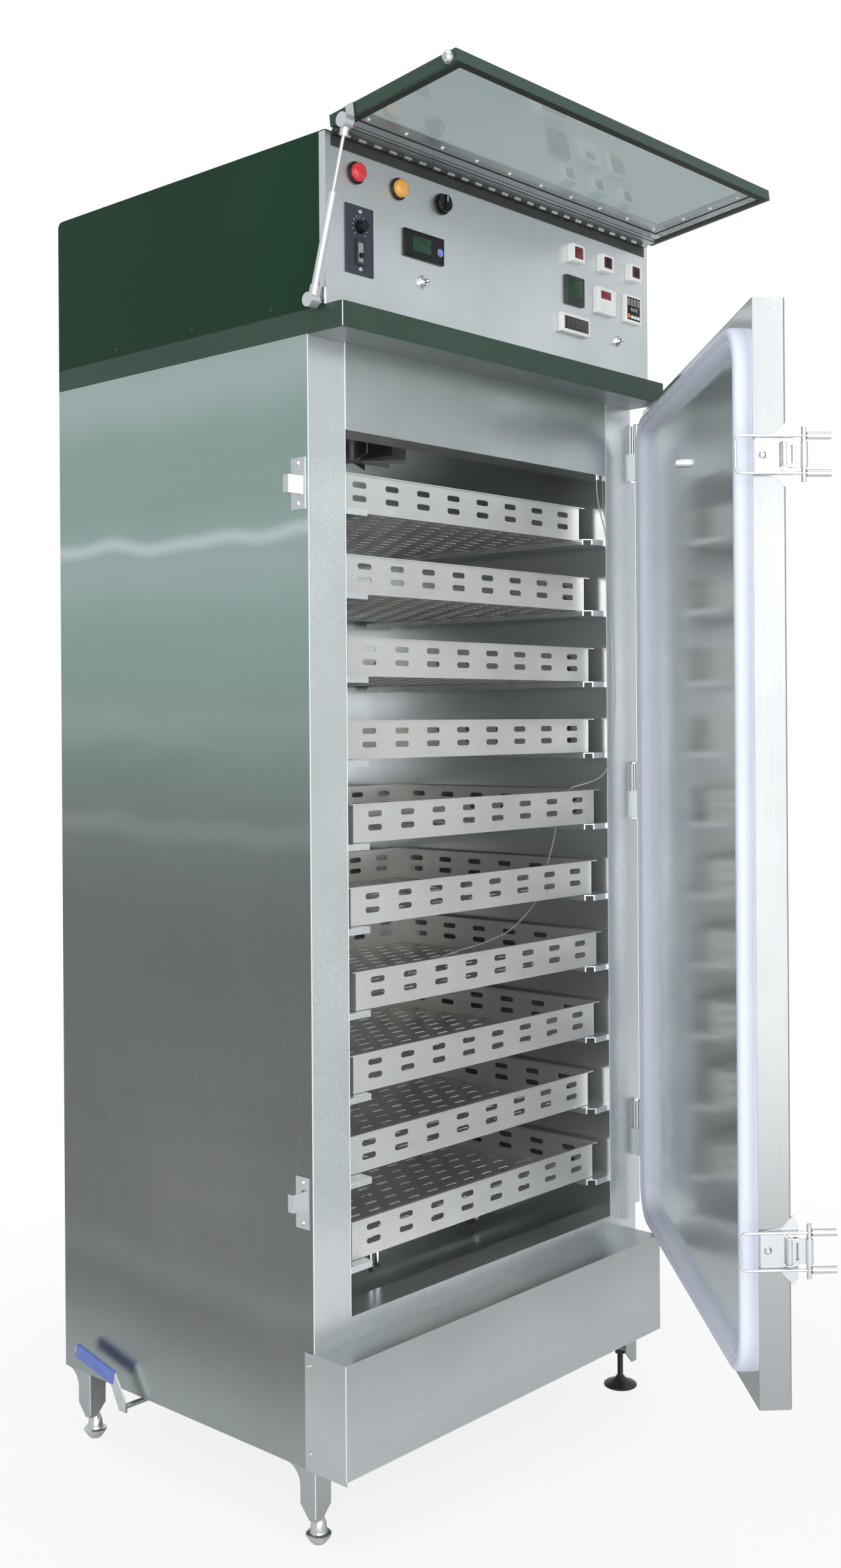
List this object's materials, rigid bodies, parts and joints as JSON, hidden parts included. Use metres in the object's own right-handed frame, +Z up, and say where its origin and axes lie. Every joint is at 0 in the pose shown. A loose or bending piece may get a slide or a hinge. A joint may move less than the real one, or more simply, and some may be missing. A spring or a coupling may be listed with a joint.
{
  "type": "steam cabinet",
  "caption": "Tall insulated cabinet with slotted trays behind a sealed door, a water pan with a heater below, and controls in a lidded head.",
  "frame": {"origin": "on the floor, in the middle of the body's width, at the plane of the body's front", "axes": "+Z up, the front faces -Y, +X to the right seen from the front"},
  "size_m": [0.7988, 1.2068, 1.9234],
  "materials": {
    "green_paint": "gloss",
    "stainless": "satin",
    "tray_steel": "satin",
    "galvanised": "satin",
    "chrome_plate": "gloss",
    "foam": "matte",
    "seal_silicone": "matte",
    "black_rubber": "matte",
    "clear_glass": "gloss",
    "black_plastic": "gloss",
    "white_plastic": "gloss",
    "blue_plastic": "matte",
    "brass_body": "satin",
    "black_steel": "satin",
    "sensor_cover": "satin"
  },
  "bodies": {
    "cabinet": {"outer_shell": "stainless", "front_frame": "stainless", "liner": "stainless", "insulation": "foam", "tray_rails": "stainless", "apron": "stainless", "legs": "stainless", "feet": "black_steel", "head_casing": "green_paint", "head_band": "green_paint", "control_panel": "stainless", "panel_instruments": "black_plastic", "electrics": "white_plastic", "fan_motor": "black_steel", "heater_element": "stainless", "drain_valve": "brass_body", "supply_fittings": "stainless", "strikes": "chrome_plate", "strut_bracket": "black_steel", "panel_hinge": "black_steel", "door_hinge_leaves": "stainless", "sensor_lead": "sensor_cover"},
    "door": {"door_skin": "stainless", "door_liner": "stainless", "door_foam": "foam", "door_gasket": "seal_silicone", "latch_bases": "chrome_plate", "door_hinge_arms": "stainless"},
    "lever_upper": {"latch_lever_upper": "chrome_plate"},
    "lever_lower": {"latch_lever_lower": "chrome_plate"},
    "bail_upper": {"latch_bail_upper": "chrome_plate"},
    "bail_lower": {"latch_bail_lower": "chrome_plate"},
    "lid": {"lid_frame": "green_paint", "lid_trim": "stainless", "lid_glass": "clear_glass", "lid_seal": "black_rubber", "lid_fittings": "black_steel"},
    "strut_tube": {"strut_cylinder": "stainless"},
    "strut_piston": {"strut_rod": "chrome_plate"},
    "drain_handle": {"drain_lever": "blue_plastic"},
    "fan": {"fan_rotor": "galvanised"},
    "mode_knob": {"selector_knob": "black_plastic"},
    "speed_dial": {"speed_knob": "black_plastic"},
    "speed_slider": {"speed_switch": "black_plastic"},
    "display_key": {"display_button": "black_plastic"},
    "rocker_left": {"rocker_1": "black_plastic"},
    "rocker_middle": {"rocker_2": "black_plastic"},
    "rocker_right": {"rocker_3": "black_plastic"},
    "toggle_left": {"toggle_1": "chrome_plate"},
    "toggle_right": {"toggle_2": "chrome_plate"},
    "shelf_1": {"tray_1": "tray_steel"},
    "shelf_2": {"tray_2": "tray_steel"},
    "shelf_3": {"tray_3": "tray_steel"},
    "shelf_4": {"tray_4": "tray_steel"},
    "shelf_5": {"tray_5": "tray_steel"},
    "shelf_6": {"tray_6": "tray_steel"},
    "shelf_7": {"tray_7": "tray_steel"},
    "shelf_8": {"tray_8": "tray_steel"},
    "shelf_9": {"tray_9": "tray_steel"},
    "shelf_10": {"tray_10": "tray_steel"}
  },
  "joints": [
    {"name": "door_swing", "type": "hinge", "parent": "cabinet", "child": "door", "pos_m": [0.376, -0.009, 0.94], "axis": [0, 0, 1], "range_deg": [-44.7, 120]},
    {"name": "latch_lever_upper_swing", "type": "hinge", "parent": "door", "child": "lever_upper", "pos_m": [-0.12559, -0.5691, 1.421], "axis": [0, 0, -1], "range_deg": [0, 120]},
    {"name": "latch_bail_upper_swing", "type": "hinge", "parent": "lever_upper", "child": "bail_upper", "pos_m": [-0.10871, -0.58616, 1.421], "axis": [0, 0, -1], "range_deg": [-120, 0]},
    {"name": "latch_lever_lower_swing", "type": "hinge", "parent": "door", "child": "lever_lower", "pos_m": [-0.12559, -0.5691, 0.462], "axis": [0, 0, -1], "range_deg": [0, 120]},
    {"name": "latch_bail_lower_swing", "type": "hinge", "parent": "lever_lower", "child": "bail_lower", "pos_m": [-0.10871, -0.58616, 0.462], "axis": [0, 0, -1], "range_deg": [-120, 0]},
    {"name": "lid_swing", "type": "hinge", "parent": "cabinet", "child": "lid", "pos_m": [0, -0.041, 1.88], "axis": [-1, 0, 0], "range_deg": [-97, 0]},
    {"name": "strut_tilt", "type": "hinge", "parent": "cabinet", "child": "strut_tube", "pos_m": [-0.382, -0.022, 1.656], "axis": [1, 0, 0], "range_deg": [-13.89, 0.05]},
    {"name": "strut_slide", "type": "slide", "parent": "strut_tube", "child": "strut_piston", "axis": [0, -0.2844, 0.9587], "range_m": [-0.0494, 0.0002]},
    {"name": "tray_1_slide", "type": "slide", "parent": "cabinet", "child": "shelf_1", "axis": [0, -1, 0], "range_m": [0, 0.1]},
    {"name": "tray_2_slide", "type": "slide", "parent": "cabinet", "child": "shelf_2", "axis": [0, -1, 0], "range_m": [0, 0.1]},
    {"name": "tray_3_slide", "type": "slide", "parent": "cabinet", "child": "shelf_3", "axis": [0, -1, 0], "range_m": [0, 0.1]},
    {"name": "tray_4_slide", "type": "slide", "parent": "cabinet", "child": "shelf_4", "axis": [0, -1, 0], "range_m": [0, 0.1]},
    {"name": "tray_5_slide", "type": "slide", "parent": "cabinet", "child": "shelf_5", "axis": [0, -1, 0], "range_m": [0, 0.1]},
    {"name": "tray_6_slide", "type": "slide", "parent": "cabinet", "child": "shelf_6", "axis": [0, -1, 0], "range_m": [0, 0.1]},
    {"name": "tray_7_slide", "type": "slide", "parent": "cabinet", "child": "shelf_7", "axis": [0, -1, 0], "range_m": [0, 0.1], "deforming": ["sensor_lead"]},
    {"name": "tray_8_slide", "type": "slide", "parent": "cabinet", "child": "shelf_8", "axis": [0, -1, 0], "range_m": [0, 0.1]},
    {"name": "tray_9_slide", "type": "slide", "parent": "cabinet", "child": "shelf_9", "axis": [0, -1, 0], "range_m": [0, 0.1]},
    {"name": "tray_10_slide", "type": "slide", "parent": "cabinet", "child": "shelf_10", "axis": [0, -1, 0], "range_m": [0, 0.1]},
    {"name": "drain_turn", "type": "hinge", "parent": "cabinet", "child": "drain_handle", "pos_m": [-0.391, 0.385, 0.094], "axis": [1, 0, 0], "range_deg": [0, 90]},
    {"name": "fan_spin", "type": "hinge", "parent": "cabinet", "child": "fan", "pos_m": [0, 0.285, 1.54], "axis": [0, 0, 1], "continuous": true},
    {"name": "mode_select", "type": "hinge", "parent": "cabinet", "child": "mode_knob", "pos_m": [-0.141, -0.044, 1.834], "axis": [0, 1, 0], "range_deg": [-45, 45]},
    {"name": "speed_set", "type": "hinge", "parent": "cabinet", "child": "speed_dial", "pos_m": [-0.308, -0.045, 1.765], "axis": [0, 1, 0], "range_deg": [0, 270]},
    {"name": "speed_range", "type": "slide", "parent": "cabinet", "child": "speed_slider", "axis": [0, 0, 1], "range_m": [0, 0.009]},
    {"name": "display_press", "type": "slide", "parent": "cabinet", "child": "display_key", "axis": [0, 1, 0], "range_m": [0, 0.001], "stiffness_N_per_m": 400},
    {"name": "rocker_left_tilt", "type": "hinge", "parent": "cabinet", "child": "rocker_left", "pos_m": [0.1685, -0.045, 1.827], "axis": [1, 0, 0], "range_deg": [-10, 10]},
    {"name": "rocker_middle_tilt", "type": "hinge", "parent": "cabinet", "child": "rocker_middle", "pos_m": [0.2455, -0.045, 1.827], "axis": [1, 0, 0], "range_deg": [-10, 10]},
    {"name": "rocker_right_tilt", "type": "hinge", "parent": "cabinet", "child": "rocker_right", "pos_m": [0.3225, -0.045, 1.827], "axis": [1, 0, 0], "range_deg": [-10, 10]},
    {"name": "toggle_left_flip", "type": "hinge", "parent": "cabinet", "child": "toggle_left", "pos_m": [-0.182, -0.04, 1.716], "axis": [1, 0, 0], "range_deg": [-12, 12]},
    {"name": "toggle_right_flip", "type": "hinge", "parent": "cabinet", "child": "toggle_right", "pos_m": [0.285, -0.04, 1.712], "axis": [1, 0, 0], "range_deg": [-12, 12]}
  ],
  "couplings": [
    {"joint": "latch_bail_upper_swing", "follows": "latch_lever_upper_swing", "ratio": -1},
    {"joint": "latch_bail_lower_swing", "follows": "latch_lever_lower_swing", "ratio": -1},
    {"joint": "strut_tilt", "follows": "lid_swing", "ratio": 0.14264},
    {"joint": "strut_slide", "follows": "lid_swing", "m_per_rad": 0.02906}
  ]
}
